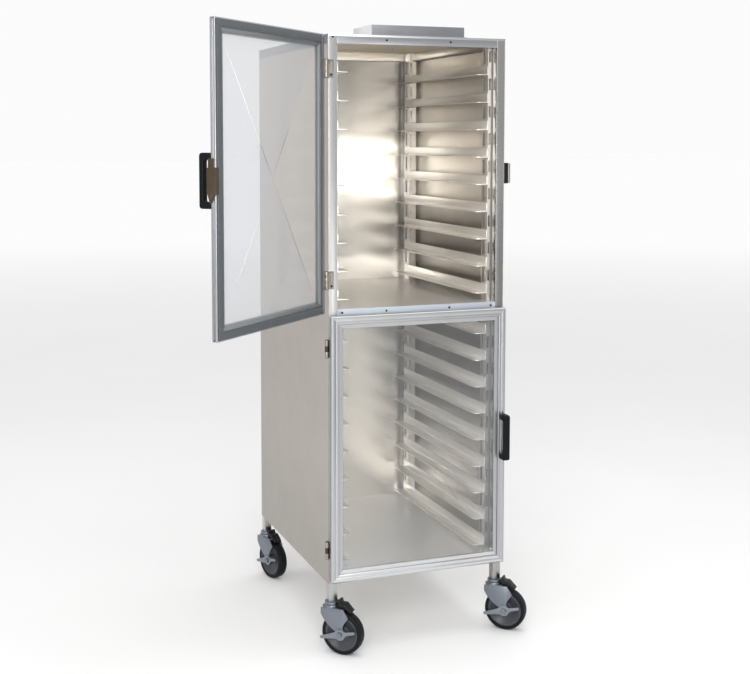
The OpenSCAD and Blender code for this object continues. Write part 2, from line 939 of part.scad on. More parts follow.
front_left_post();
front_right_post();
rear_left_post();
rear_right_post();
front_rails();
rear_rails();
left_side_rails();
right_side_rails();
left_side_panel();
right_side_panel();
back_panel();
roof_panel();
floor_pan();
divider_shelf();
sill_strip();
frame_screws();
left_uprights();
right_uprights();
left_slides();
right_slides();
vent_hood();
post_hinge_leaves();
hinge_pins();
latch_strikes();
strike_covers();
caster_stems();
upper_door_frame();
upper_door_window();
upper_door_beads();
upper_door_gasket();
upper_door_hinge_leaves();
upper_door_handle();
upper_door_latch();
lower_door_frame();
lower_door_window();
lower_door_beads();
lower_door_gasket();
lower_door_hinge_leaves();
lower_door_handle();
lower_door_latch();
front_left_fork();
front_left_hub();
front_left_tyre();
front_left_brake_lever();
front_left_brake_housing();
front_right_fork();
front_right_hub();
front_right_tyre();
front_right_brake_lever();
front_right_brake_housing();
rear_left_fork();
rear_left_hub();
rear_left_tyre();
rear_left_brake_lever();
rear_left_brake_housing();
rear_right_fork();
rear_right_hub();
rear_right_tyre();
rear_right_brake_lever();
rear_right_brake_housing();
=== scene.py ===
"""The looks of a mobile proofing cabinet: aluminium frame and skins, two glazed doors, pan slides and braked
casters.

Metres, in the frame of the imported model: +Z up, doors facing -Y, origin on the floor under the body. The
shapes and their named sizes are in millimetres.
"""

import json
import math

import bmesh
import bpy
from mathutils import Matrix, Vector


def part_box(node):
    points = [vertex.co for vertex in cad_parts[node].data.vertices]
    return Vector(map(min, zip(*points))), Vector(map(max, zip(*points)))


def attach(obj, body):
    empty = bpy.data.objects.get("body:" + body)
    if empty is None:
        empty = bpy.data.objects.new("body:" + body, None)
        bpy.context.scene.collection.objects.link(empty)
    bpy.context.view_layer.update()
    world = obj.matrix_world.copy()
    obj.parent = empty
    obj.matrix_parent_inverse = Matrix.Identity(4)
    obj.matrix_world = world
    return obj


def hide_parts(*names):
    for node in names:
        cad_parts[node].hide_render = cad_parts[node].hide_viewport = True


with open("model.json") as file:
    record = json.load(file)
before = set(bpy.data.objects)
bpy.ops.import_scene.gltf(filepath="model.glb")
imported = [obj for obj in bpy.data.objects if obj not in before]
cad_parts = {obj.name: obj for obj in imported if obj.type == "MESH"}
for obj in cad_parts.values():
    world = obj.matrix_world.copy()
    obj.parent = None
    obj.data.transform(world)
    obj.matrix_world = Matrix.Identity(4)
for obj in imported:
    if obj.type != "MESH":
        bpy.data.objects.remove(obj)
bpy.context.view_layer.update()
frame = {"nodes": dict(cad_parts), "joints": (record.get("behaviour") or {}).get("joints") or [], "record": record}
MM = 0.001
NODES = frame["nodes"]
JOINTS = {j["name"]: j for j in frame["joints"]}

# ---------------------------------------------------------------- working by hand

# Points closer than this many metres are one point, and edges flatter than this many degrees look round
MERGE, SMOOTH_UNDER = 1e-6, 38


def nothing_selected():
    """Back to object mode with nothing selected."""
    if bpy.context.object and bpy.context.object.mode != "OBJECT":
        bpy.ops.object.mode_set(mode="OBJECT")
    bpy.ops.object.select_all(action="DESELECT")


def take(piece):
    """Makes a piece the only one selected."""
    nothing_selected()
    piece.select_set(True)
    bpy.context.view_layer.objects.active = piece
    return piece


def open_mesh(piece, kind="FACE"):
    """Into edit mode on a piece, with all of it selected."""
    take(piece)
    bpy.ops.object.mode_set(mode="EDIT")
    bpy.ops.mesh.select_mode(type=kind)
    bpy.ops.mesh.select_all(action="SELECT")


def close_mesh():
    bpy.ops.object.mode_set(mode="OBJECT")


def pick(piece, kind, test):
    """In edit mode, selects just the faces, edges or vertices that pass a test."""
    bpy.ops.mesh.select_mode(type=kind)
    bpy.ops.mesh.select_all(action="DESELECT")
    bm = bmesh.from_edit_mesh(piece.data)
    for e in {"FACE": bm.faces, "EDGE": bm.edges, "VERT": bm.verts}[kind]:
        if test(e):
            e.select_set(True)
    bmesh.update_edit_mesh(piece.data)


def placed(piece, matrix):
    """Moves a piece by a matrix and leaves the move in its mesh."""
    take(piece)
    piece.matrix_world = matrix @ piece.matrix_world
    bpy.ops.object.transform_apply(location=True, rotation=True, scale=True)
    return piece


def faces_out(piece, merged=False):
    """Turns the faces outwards, after merging doubled points if asked."""
    open_mesh(piece)
    if merged:
        bpy.ops.mesh.remove_doubles(threshold=MERGE)
    bpy.ops.mesh.normals_make_consistent(inside=False)
    close_mesh()
    return piece


def smoothed(piece):
    """Smooth shading except over sharp edges."""
    take(piece)
    bpy.ops.object.shade_smooth_by_angle(angle=math.radians(SMOOTH_UNDER))
    return piece


def modified(piece, kind, **settings):
    """Adds a modifier and applies it."""
    take(piece)
    m = piece.modifiers.new(kind.title(), kind)
    for key, value in settings.items():
        setattr(m, key, value)
    bpy.ops.object.modifier_apply(modifier=m.name)
    return piece


def cut_by(piece, cutter):
    """Cuts a piece by another and throws the cutter away."""
    modified(piece, "BOOLEAN", operation="DIFFERENCE", object=cutter, solver="EXACT")
    bpy.data.objects.remove(cutter)


def eased_edges(piece, width, segments=2, angle=32):
    """Rounds the sharp edges and shades the rest smooth."""
    modified(piece, "BEVEL", width=width * MM, segments=segments, limit_method="ANGLE",
             angle_limit=math.radians(angle), use_clamp_overlap=True)
    return smoothed(piece)


def plate(name, outline, depth):
    """A flat outline in X and Y, extruded up Z."""
    nothing_selected()
    bpy.ops.mesh.primitive_circle_add(vertices=len(outline), radius=0.01, fill_type="NGON")
    piece = bpy.context.object
    piece.name = name
    for v, (x, y) in zip(piece.data.vertices, outline):
        v.co = (x * MM, y * MM, 0)
    open_mesh(piece)
    bpy.ops.mesh.extrude_region_move(TRANSFORM_OT_translate={"value": (0, 0, depth * MM)})
    bpy.ops.mesh.select_all(action="SELECT")
    bpy.ops.mesh.normals_make_consistent(inside=False)
    close_mesh()
    return piece


def brick(name, low, high):
    """A block from its lowest to its highest corner."""
    nothing_selected()
    low, high = Vector(low), Vector(high)
    bpy.ops.mesh.primitive_cube_add(size=1, location=(low + high) / 2 * MM)
    piece = bpy.context.object
    piece.name = name
    piece.scale = (high - low) * MM
    bpy.ops.object.transform_apply(location=True, rotation=False, scale=True)
    return piece


def turned(name, loop, steps=64):
    """A closed section of radius and height, spun about Z."""
    nothing_selected()
    bpy.ops.mesh.primitive_circle_add(vertices=len(loop), radius=0.01, fill_type="NOTHING")
    piece = bpy.context.object
    piece.name = name
    for v, (r, z) in zip(piece.data.vertices, loop):
        v.co = (r * MM, 0, z * MM)
    open_mesh(piece, "EDGE")
    bpy.ops.mesh.spin(steps=steps, angle=math.tau, center=(0, 0, 0), axis=(0, 0, 1))
    close_mesh()
    return smoothed(faces_out(piece, merged=True))


def copied(piece, name, matrix):
    """A copy with its own mesh, moved by a matrix."""
    other = bpy.data.objects.new(name, piece.data.copy())
    bpy.context.scene.collection.objects.link(other)
    return placed(other, matrix)


def joined(name, pieces):
    """Several pieces made one."""
    nothing_selected()
    for p in pieces:
        p.select_set(True)
    bpy.context.view_layer.objects.active = pieces[0]
    bpy.ops.object.join()
    piece = bpy.context.object
    piece.name = name
    return piece


def shown(piece, body, material, stands_for=()):
    """Gives a finished piece its material and the body it moves with."""
    piece.data.materials.clear()
    piece.data.materials.append(material)
    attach(piece, body)
    if stands_for:
        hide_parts(*stands_for)
    return piece


def body_of_node(name):
    return next(b for b, members in frame["record"]["behaviour"]["bodies"].items() if name in members)


def eased_copy(node, width, material, segments=2):
    """A CAD piece's own shape with its edges rounded, standing for it."""
    piece = bpy.data.objects.new(node + "_eased", NODES[node].data.copy())
    bpy.context.scene.collection.objects.link(piece)
    open_mesh(piece)
    bpy.ops.mesh.remove_doubles(threshold=MERGE)
    bpy.ops.mesh.dissolve_limited(angle_limit=math.radians(0.6))
    close_mesh()
    eased_edges(piece, width, segments)
    return shown(piece, body_of_node(node), material, [node])


def faced(piece, material, test):
    """Gives the faces that pass a test another finish."""
    piece.data.materials.append(material)
    open_mesh(piece)
    pick(piece, "FACE", test)
    piece.active_material_index = len(piece.data.materials) - 1
    bpy.ops.object.material_slot_assign()
    close_mesh()


def arc(cx, cy, r, start, end, count):
    """Points on an arc, in degrees."""
    angles = [math.radians(start + (end - start) * i / count) for i in range(count + 1)]
    return [(cx + r * math.cos(a), cy + r * math.sin(a)) for a in angles]


def curve(a, b, c, count=7):
    """Points along a bend from a to c, drawn towards b."""
    shares = [i / count for i in range(count + 1)]
    return [tuple((1 - t) ** 2 * p + 2 * t * (1 - t) * q + t * t * r for p, q, r in zip(a, b, c))
            for t in shares]


def turn_z(degrees):
    return Matrix.Rotation(math.radians(degrees), 4, "Z")


def shift(x, y, z):
    return Matrix.Translation(Vector((x, y, z)) * MM)


STOOD_UP = Matrix.Rotation(math.radians(90), 4, "X")
UPSIDE_DOWN = Matrix.Rotation(math.radians(180), 4, "X")
MIRRORED = Matrix.Scale(-1, 4, (1, 0, 0))

# ---------------------------------------------------------------- finishes

# A rolled or drawn line is this many times as long as it is wide
LINE_LENGTH = 60
# Bands of painted light and shade run up to this height in metres, and their edges wander by this much
PAINTED_LIGHT_TOP, PAINTED_LIGHT_WANDER = 1.8, 0.09


def linear(hex_colour):
    """An sRGB hex colour as linear RGBA."""
    rgb = [int(hex_colour[i : i + 2], 16) / 255 for i in (1, 3, 5)]
    return (*[c / 12.92 if c <= 0.04045 else ((c + 0.055) / 1.055) ** 2.4 for c in rgb], 1.0)


def add(tree, kind, links=None, inputs=None, **settings):
    """Adds a node with its settings, its input values and its incoming links."""
    n = tree.nodes.new(kind)
    for key, value in settings.items():
        setattr(n, key, value)
    for key, value in (inputs or {}).items():
        n.inputs[key].default_value = value
    for key, socket in (links or {}).items():
        tree.links.new(socket, n.inputs[key])
    return n


def fresh(name):
    """An empty material, its tree and its object coordinates."""
    m = bpy.data.materials.new(name)
    m.use_nodes = True
    m.node_tree.nodes.clear()
    return m, m.node_tree, add(m.node_tree, "ShaderNodeTexCoord").outputs["Object"]


def finish_off(tree, shader):
    add(tree, "ShaderNodeOutputMaterial", {"Surface": shader.outputs[0]})


def grained_metal(name, colour, rough, grain, turn=0.0, grain_mm=0.9, grain_depth=0.006, spread=0.03,
                  cloud=0.02, wave=0.0, smear=0.02, metal=1.0, painted_light_bands=()):
    """Worked aluminium or steel: fine lines left along one way by the rollers, the die or the belt, with
    faint clouds in its tone and a little handling smear in its gloss. Its last argument sets bands of painted
    light and shade up the piece, as pairs of a height in metres and the share of the tone left there: painted
    shade, and painted reflection of what the sheet faces."""
    m, t, place = fresh(name)
    scale = [1000 / grain_mm] * 3
    scale["XYZ".index(grain)] /= LINE_LENGTH
    squared = add(t, "ShaderNodeMapping", {"Vector": place}, {"Rotation": (0, 0, math.radians(turn))})
    lined = add(t, "ShaderNodeMapping", {"Vector": squared.outputs[0]}, {"Scale": scale})
    lines = add(t, "ShaderNodeTexNoise", {"Vector": lined.outputs[0]},
                {"Scale": 1.0, "Detail": 2.0, "Roughness": 0.6}).outputs["Fac"]
    # clouds the size of a hand
    clouds = add(t, "ShaderNodeTexNoise", {"Vector": place}, {"Scale": 9.0, "Detail": 3.0, "Roughness": 0.55})
    # smears a few millimetres wide
    smears = add(t, "ShaderNodeTexNoise", {"Vector": place},
                 {"Scale": 42.0, "Detail": 4.0, "Roughness": 0.65, "Distortion": 0.6})
    base = linear(colour)[:3]
    dark = (*[c * (1 - cloud * 2) for c in base], 1)
    light = (*[min(1, c * (1 + cloud)) for c in base], 1)
    tone = add(t, "ShaderNodeMix", {"Factor": clouds.outputs["Fac"]}, {6: dark, 7: light}, data_type="RGBA")
    tone = add(t, "ShaderNodeMix", {"Factor": lines, 6: tone.outputs[2]}, {7: (0.93, 0.93, 0.93, 1)},
               data_type="RGBA", blend_type="MULTIPLY")
    # Bands of painted light and shade, set by height
    if painted_light_bands:
        wander = add(t, "ShaderNodeTexNoise", {"Vector": place}, {"Scale": 4.5, "Detail": 1.0})
        upwards = add(t, "ShaderNodeSeparateXYZ", {0: place}).outputs[2]
        level = add(t, "ShaderNodeMath", {0: wander.outputs["Fac"], 2: upwards}, {1: PAINTED_LIGHT_WANDER},
                    operation="MULTIPLY_ADD")
        share = add(t, "ShaderNodeMapRange", {"Value": level.outputs[0]},
                    {"From Min": PAINTED_LIGHT_WANDER / 2, "From Max": PAINTED_LIGHT_TOP + PAINTED_LIGHT_WANDER / 2})
        node = add(t, "ShaderNodeValToRGB", {0: share.outputs[0]})
        ramp = node.color_ramp
        ramp.interpolation = "EASE"
        while len(ramp.elements) < len(painted_light_bands):
            ramp.elements.new(1.0)
        for stop, (height, left) in zip(ramp.elements, painted_light_bands):
            stop.position = height / PAINTED_LIGHT_TOP
            stop.color = (left, left, left * 0.995, 1)
        tone = add(t, "ShaderNodeMix", {6: tone.outputs[2], 7: node.outputs[0]}, {"Factor": 1.0},
                   data_type="RGBA", blend_type="MULTIPLY")
    gloss = add(t, "ShaderNodeMapRange", {"Value": lines},
                {"To Min": rough - spread, "To Max": rough + spread})
    smeared = add(t, "ShaderNodeMapRange", {"Value": smears.outputs["Fac"]},
                  {"From Min": 0.35, "From Max": 0.7, "To Min": 0.0, "To Max": smear})
    gloss = add(t, "ShaderNodeMath", {0: gloss.outputs[0], 1: smeared.outputs[0]}, operation="ADD")
    bump = add(t, "ShaderNodeBump", {"Height": lines}, {"Strength": 0.5, "Distance": grain_depth * MM})
    if wave:
        # the slow waves of thin sheet
        slow = add(t, "ShaderNodeTexNoise", {"Vector": place},
                   {"Scale": 3.4, "Detail": 1.0, "Roughness": 0.4})
        bump = add(t, "ShaderNodeBump", {"Height": slow.outputs["Fac"], "Normal": bump.outputs[0]},
                   {"Strength": 1.0, "Distance": wave * MM})
    finish_off(t, add(t, "ShaderNodeBsdfPrincipled", {"Base Color": tone.outputs[2],
                      "Roughness": gloss.outputs[0], "Normal": bump.outputs[0]}, {"Metallic": metal}))
    return m


def moulded(name, colour, rough, scuff=None, grain_mm=0.8, depth=0.03, spread=0.08, ior=1.5):
    """Moulded plastic or rubber: an even spark-eroded grain, slight flow marks, and rubbed patches."""
    m, t, place = fresh(name)
    grain = add(t, "ShaderNodeTexNoise", {"Vector": place},
                {"Scale": 1000 / grain_mm, "Detail": 2.0, "Roughness": 0.5})
    flow = add(t, "ShaderNodeTexNoise", {"Vector": place},
               {"Scale": 26.0, "Detail": 4.0, "Roughness": 0.6, "Distortion": 1.2}).outputs["Fac"]
    base = linear(colour)
    worn = linear(scuff) if scuff else (*[min(1, c * 1.5 + 0.004) for c in base[:3]], 1)
    rubbed = add(t, "ShaderNodeMapRange", {"Value": flow},
                 {"From Min": 0.52, "From Max": 0.8, "To Min": 0.0, "To Max": 0.6})
    tone = add(t, "ShaderNodeMix", {"Factor": rubbed.outputs[0]}, {6: base, 7: worn}, data_type="RGBA")
    gloss = add(t, "ShaderNodeMapRange", {"Value": flow},
                {"To Min": rough - spread, "To Max": rough + spread})
    bump = add(t, "ShaderNodeBump", {"Height": grain.outputs["Fac"]},
               {"Strength": 0.4, "Distance": depth * MM})
    finish_off(t, add(t, "ShaderNodeBsdfPrincipled", {"Base Color": tone.outputs[2],
                      "Roughness": gloss.outputs[0], "Normal": bump.outputs[0]}, {"IOR": ior}))
    return m


def polycarbonate(name, painted_reflection_tint, veil, through="#FBFCFD"):
    """Clear extruded polycarbonate: mostly open, with a soft gloss, slight ripples and a fine haziness from wiping
    that veils what is behind it a little. Its second argument is the tint one field of a creased sheet shows
    as painted reflection."""
    m, t, place = fresh(name)
    wiped = add(t, "ShaderNodeTexNoise", {"Vector": place},
                {"Scale": 30.0, "Detail": 4.0, "Roughness": 0.6, "Distortion": 0.8})
    rough = add(t, "ShaderNodeMapRange", {"Value": wiped.outputs["Fac"]}, {"To Min": 0.03, "To Max": 0.10})
    ripple = add(t, "ShaderNodeTexNoise", {"Vector": place}, {"Scale": 7.0, "Detail": 1.0})
    bump = add(t, "ShaderNodeBump", {"Height": ripple.outputs["Fac"]},
               {"Strength": 1.0, "Distance": 0.06 * MM})
    gloss = add(t, "ShaderNodeBsdfPrincipled", {"Roughness": rough.outputs[0], "Normal": bump.outputs[0]},
                {"Base Color": linear(painted_reflection_tint), "IOR": 1.585})
    clear = add(t, "ShaderNodeBsdfTransparent", None, {"Color": linear(through)})
    finish_off(t, add(t, "ShaderNodeMixShader", {1: clear.outputs[0], 2: gloss.outputs[0]}, {0: veil}))
    return m


# Factory-bright sheet has a finer, more even grain than mill finish
BRIGHT = {"spread": 0.02, "grain_depth": 0.003, "smear": 0.01}

# Rolled aluminium sheet, satin outside: even warm grey with a faint upright grain, and painted shade that darkens
# it towards the floor
outer_sheet = grained_metal("rolled_aluminium_skin", "#C8C2BB", 0.42, "Z", grain_mm=1.2, grain_depth=0.012,
                            spread=0.07, cloud=0.04, wave=0.25, smear=0.05, metal=0.97,
                            painted_light_bands=((0.25, 0.78), (0.65, 0.93), (1.1, 1.0)))
# The roof's rolled sheet: cooler and a little brighter; its folded-down edges take a darker copy of it, as painted
# shade
roof_sheet = grained_metal("rolled_aluminium_roof", "#C6C9CE", 0.40, "X", grain_mm=1.2, wave=0.2)
roof_edge_painted_shade = grained_metal("rolled_aluminium_roof_painted_shade_edge", "#8E9197", 0.38, "Y")
# Its underside: a dull, soft beige
roof_liner = grained_metal("steamed_aluminium_ceiling", "#E6DCCB", 0.42, "Y", grain_mm=1.2, wave=0.15,
                           metal=0.55)
# Bright-rolled aluminium liner of the back wall: painted reflection of what it faces, in bands of light and dark
inner_sheet = grained_metal("bright_aluminium_liner", "#F2EEE8", 0.25, "Z", grain_mm=1.0, cloud=0.01,
                            wave=0.35, metal=0.88, **BRIGHT,
                            painted_light_bands=((0.2, 1.0), (0.45, 0.8), (0.7, 0.66), (0.99, 0.42), (1.02, 1.0),
                                  (1.09, 0.84), (1.12, 0.44), (1.19, 0.40), (1.22, 0.5), (1.25, 0.46),
                                  (1.29, 0.62), (1.32, 1.0), (1.49, 1.0), (1.53, 0.5), (1.7, 0.4)))
# Satin-rolled liner of the side walls: broad warm bands of painted light and shade, without a clear reflection
side_liner = grained_metal("satin_aluminium_liner", "#F6EEE2", 0.38, "Z", grain_mm=1.2, smear=0.02, metal=0.9,
                           painted_light_bands=((0.2, 0.62), (0.6, 0.58), (0.95, 0.38), (1.03, 0.5), (1.1, 0.42),
                                 (1.22, 0.46), (1.3, 0.95), (1.47, 1.0), (1.55, 0.84), (1.7, 0.86)))
# Brushed aluminium pans on the floors: pale, with lines that run front to back
floor_sheet = grained_metal("brushed_aluminium_floor", "#F4F1EB", 0.28, "Y", wave=0.15, metal=0.75, **BRIGHT)
pan_sheet = grained_metal("brushed_aluminium_pan", "#F8F6F2", 0.25, "Y", wave=0.15, metal=0.64, **BRIGHT)
# Extruded square tube: a narrow sheen along its die lines
tube_z = grained_metal("extruded_tube_upright", "#C6C5C4", 0.27, "Z")
tube_x = grained_metal("extruded_tube_across", "#C2C4C7", 0.28, "X")
tube_y = grained_metal("extruded_tube_along", "#D6D2CB", 0.30, "Y")
# The back rails' copy is paler and warmer: painted light from the lit inside of the cabinet
tube_x_painted_inside_light = grained_metal("extruded_tube_across_back_painted_light", "#E8E2D8", 0.34, "X", metal=0.8)
# The same tube at the front: on the hinge side a brighter copy as painted light, with painted shade low down, and
# on the latch side painted shade at waist height
tube_z_painted_light_and_shade = grained_metal("extruded_tube_upright_painted_light_and_shade", "#DEDEDD", 0.30, "Z",
                              painted_light_bands=((0.15, 0.68), (0.45, 0.8), (1.0, 1.0)))
tube_z_painted_shade = grained_metal("extruded_tube_upright_painted_shade", "#C6C5C4", 0.27, "Z",
                               painted_light_bands=((0.3, 0.75), (0.9, 0.5), (1.12, 0.6), (1.4, 1.0)))
# Extruded door section, clear anodised: cooler and more even than the skins
door_z = grained_metal("anodised_door_stile", "#BABBBE", 0.33, "Z", cloud=0.03)
# The lower door's rails: a brighter copy as painted light, brightest on the bottom rail and dimmer towards the top
# rail
door_x_painted_light = grained_metal("anodised_door_rail_painted_light", "#D9DADC", 0.33, "X", cloud=0.03,
                       painted_light_bands=((0.25, 1.0), (0.9, 0.82)))
open_door_x = grained_metal("anodised_open_door_rail", "#BABBBE", 0.33, "X", turn=137.0, cloud=0.03)
# Rolled aluminium strip on the sill: bright and bluish
strip_metal = grained_metal("rolled_sill_strip", "#D6DDE6", 0.34, "X", metal=0.9)
# Formed aluminium angle of the pan slides: pale and soft, with painted shade near the roof
slide_metal = grained_metal("formed_slide_aluminium", "#F6F1E9", 0.36, "Y", grain_mm=0.8, metal=0.7, **BRIGHT,
                            painted_light_bands=((1.0, 1.0), (1.55, 1.0), (1.64, 0.74), (1.75, 0.72)))
# Formed aluminium channel behind them: a shade darker and rougher
channel_metal = grained_metal("formed_channel_aluminium", "#DAD6CF", 0.42, "Z", metal=0.85)
# Galvanised sheet of the hood: mid grey with faint clouds; its left end takes a near-white copy, as painted light
hood_metal = grained_metal("folded_hood_sheet", "#A7A9AC", 0.38, "X", cloud=0.09)
hood_end_painted_light = grained_metal("folded_hood_sheet_end_painted_light", "#F6F6F7", 0.34, "Z", cloud=0.03, metal=0.7)
# Zinc-plated steel stampings of the casters: bluish and slightly mottled
zinc_plate = grained_metal("zinc_plated_stamping", "#878D96", 0.36, "Z", grain_mm=2.5, cloud=0.10,
                           grain_depth=0.02)
# Zinc-plated steel strap of the foot levers: a little brighter, with coarse rubbed lines along it
lever_steel = grained_metal("plated_lever_steel", "#8E949C", 0.34, "X", grain_mm=1.5)
# Stamped stainless steel hinge leaves: warm grey
hinge_steel = grained_metal("stamped_hinge_leaf", "#A5A098", 0.36, "Z", cloud=0.06)
# Bronzed steel hinge pins: darker than the leaves, and darkest on the lower door
pin_steel = grained_metal("bronzed_hinge_pin", "#7C7468", 0.34, "Z", cloud=0.08)
dark_pin_steel = grained_metal("dark_bronzed_hinge_pin", "#54473A", 0.34, "Z", cloud=0.08)
# Bronze-toned plated steel of the latch cases: brown and cloudy
latch_plate = grained_metal("bronzed_latch_case", "#6A5D4F", 0.30, "Z", cloud=0.12)
# Plated steel of the strike covers: bright and plain
cover_plate = grained_metal("plated_strike_cover", "#B9B6B2", 0.30, "Z")
# Blackened steel pan-head screws: near black with a dull gleam
screw_steel = grained_metal("blackened_screw", "#222226", 0.40, "Z", grain_mm=0.5)
# Dark anodised aluminium of the glazing beads: matt mid grey
bead_metal = grained_metal("dark_glazing_bead", "#8A8E90", 0.5, "Z", cloud=0.05, metal=0.6)
# Extruded grey vinyl of the door gaskets: matt, with faint flow marks; its dark grey also stands for the shade on
# the door frame's inner face, as painted shade
vinyl_and_painted_shade = moulded("extruded_grey_vinyl_painted_shade", "#4C5154", 0.48, grain_mm=1.2, depth=0.02, spread=0.05)
# Moulded black glass-filled nylon of the handles: satin, greyer where it is gripped
nylon = moulded("moulded_black_nylon", "#03060B", 0.5, "#0D1117", grain_mm=0.9, ior=1.3)
# Moulded black plastic of the strikes: a little glossier
strike_plastic = moulded("moulded_black_strike", "#050608", 0.42, "#101115", ior=1.4)
# Moulded black polypropylene of the brake housings: scuffed to dark grey
housing_plastic = moulded("moulded_brake_housing", "#080A0E", 0.42, "#15191F", ior=1.4)
# Moulded grey polyolefin of the wheel cores: even, with paler scuffs
core_plastic = moulded("moulded_grey_core", "#3D3F44", 0.40, "#54565A", grain_mm=1.4)
# Moulded rubber of the treads: dark with a blue cast, dulled by floor dust
tread_rubber = moulded("moulded_tread_rubber", "#030911", 0.55, "#0C141F", grain_mm=1.6, depth=0.06, ior=1.33)
# Clear polycarbonate windows, each with a plain field and two fields tinted as painted reflection, one cool and
# one warm; the upper one is hazier from wiping
fields = {
    "lower_door": (polycarbonate("clear_polycarbonate", "#E4E6EA", 0.05),
                   polycarbonate("clear_polycarbonate_cool_painted_reflection", "#E2E6EC", 0.06),
                   polycarbonate("clear_polycarbonate_warm_painted_reflection", "#EDE8E4", 0.07)),
    "upper_door": (polycarbonate("wiped_polycarbonate", "#E8E7E6", 0.26, "#EEEFF0"),
                   polycarbonate("wiped_polycarbonate_cool_painted_reflection", "#E7E8EA", 0.26, "#EEEFF1"),
                   polycarbonate("wiped_polycarbonate_warm_painted_reflection", "#EAE8E6", 0.28, "#F0EFEE")),
}
# Along the creases, white strips of painted highlight and thin dark strips of painted shade
crease_highlight = moulded("crease_painted_highlight", "#E9EBEF", 0.35, "#F2F3F5", spread=0.05)
crease_shade = moulded("crease_painted_shade", "#7B7773", 0.35, "#8A8784", spread=0.05)

# ---------------------------------------------------------------- frame and skins

# Each piece of tube with the radius of its edges, its finish and the steps in each round
for node, width, metal, segments in (
    ("front_left_post", 1.4, tube_z_painted_light_and_shade, 3),
    ("front_right_post", 1.4, tube_z_painted_shade, 3),
    ("rear_left_post", 1.4, tube_z, 3),
    ("rear_right_post", 1.4, tube_z, 3),
    ("front_rails", 1.2, tube_x, 3),
    ("rear_rails", 1.2, tube_x_painted_inside_light, 3),
    ("left_side_rails", 1.2, tube_y, 2),
    ("right_side_rails", 1.2, tube_y, 2),
):
    eased_copy(node, width, metal, segments)

# A face this much along a way counts as facing it
FACING = 0.9
faced(eased_copy("left_side_panel", 0.5, outer_sheet, 1), side_liner, lambda f: f.normal.x > FACING)
faced(eased_copy("right_side_panel", 0.5, outer_sheet, 1), side_liner, lambda f: f.normal.x < -FACING)
faced(eased_copy("back_panel", 0.4, inner_sheet, 1), outer_sheet, lambda f: f.normal.y > FACING)
roof = eased_copy("roof_panel", 0.5, roof_sheet, 2)
faced(roof, roof_liner, lambda f: f.normal.z < -FACING)
# The folded-down edges take the darker copy, as painted shade
faced(roof, roof_edge_painted_shade, lambda f: abs(f.normal.x) > FACING)
eased_copy("floor_pan", 0.4, pan_sheet, 1)
eased_copy("divider_shelf", 0.4, floor_sheet, 1)
eased_copy("sill_strip", 0.4, strip_metal, 1)
# The hood's left end takes the near-white copy, as painted light
faced(eased_copy("vent_hood", 0.5, hood_metal, 2), hood_end_painted_light, lambda f: f.normal.x < -FACING)
eased_copy("latch_strikes", 1.5, strike_plastic, 3)
eased_copy("strike_covers", 1.2, cover_plate, 2)


def cross_screw(name, radius, height):
    """A pan-head screw: a domed head with a cross recess, standing on Z = 0."""
    head = turned(name, [(0.02, 0), (radius, 0), (radius, height * 0.35), (radius * 0.9, height * 0.7),
                         (radius * 0.62, height * 0.95), (0.02, height)], 24)
    slot_w, slot_l = radius * 0.24, radius * 0.62
    for turn in (0, 90):
        recess = brick("recess", (-slot_l, -slot_w / 2, height * 0.4), (slot_l, slot_w / 2, height * 2))
        cut_by(head, placed(recess, turn_z(turn)))
    return smoothed(head)


# The frame's screws, each a place and a facing: four on the sill strip, two on the top rail, one at the head
# of the hinge post and two under the roof. Each is left at another angle.
one_screw = cross_screw("screw", 3.2, 1.2)
FRONT, HALF_W, STRIP_T = -356.0, 280.0, 1.2
SILL_Z, TOP_RAIL_Z, CEILING_Z = 1005.3, 1788.7, 1801.4
spots = [(share * HALF_W, FRONT - STRIP_T, SILL_Z, STOOD_UP) for share in (-0.85, -0.36, 0.36, 0.85)]
spots += [(share * HALF_W, FRONT, TOP_RAIL_Z, STOOD_UP) for share in (-0.36, 0.36)]
spots += [(-265.7, FRONT, 1794.6, STOOD_UP)]
spots += [(x, 110.0, CEILING_Z, UPSIDE_DOWN) for x in (-105.0, 105.0)]
screws = [copied(one_screw, f"frame_screw_{i}", shift(x, y, z) @ facing @ turn_z(23 * i))
          for i, (x, y, z, facing) in enumerate(spots)]
shown(joined("frame_screw_heads", screws), "cabinet", screw_steel, ["frame_screws"])

# ---------------------------------------------------------------- pan slides

BAY_FLOORS, BAY_TOPS = (232.9, 1016.0), (1014.5, CEILING_Z)
FIRST_SLIDE, SLIDE_PITCH, SLIDES = 24, 82.4, 9
LEG_FACE, LEDGE_W, SLIDE_T, SLIDE_H, TIP_R = 240.0, 38.0, 2.0, 26.0, 14.0
SLIDE_START, SLIDE_END = -323.9, 322.0
BEND_R = 1.8


def slide(name):
    """One left-hand slide at height 0: a leg, an inside bend and a ledge whose front corner is rounded."""
    tip = arc(LEDGE_W - TIP_R, SLIDE_START + TIP_R, TIP_R, -90, 0, 8)
    ledge = plate("ledge", [(0, SLIDE_START)] + tip + [(LEDGE_W, SLIDE_END), (0, SLIDE_END)], SLIDE_T)
    placed(ledge, shift(0, 0, -SLIDE_T))
    eased_edges(ledge, 0.4, 2)
    leg = eased_edges(brick("leg", (0, SLIDE_START, -SLIDE_T), (SLIDE_T, SLIDE_END, SLIDE_H)), 0.4, 2)
    bend = [(SLIDE_T - 0.2, -0.2)] + [(SLIDE_T + BEND_R - BEND_R * math.sin(a), BEND_R - BEND_R * math.cos(a))
                                      for a in (math.pi / 8 * i for i in range(5))]
    fillet = plate("fillet", bend, SLIDE_END - SLIDE_START - 1)
    smoothed(placed(fillet, shift(0, SLIDE_END - 0.5, 0) @ STOOD_UP))
    return placed(joined(name, [ledge, leg, fillet]), shift(-LEG_FACE, 0, 0))


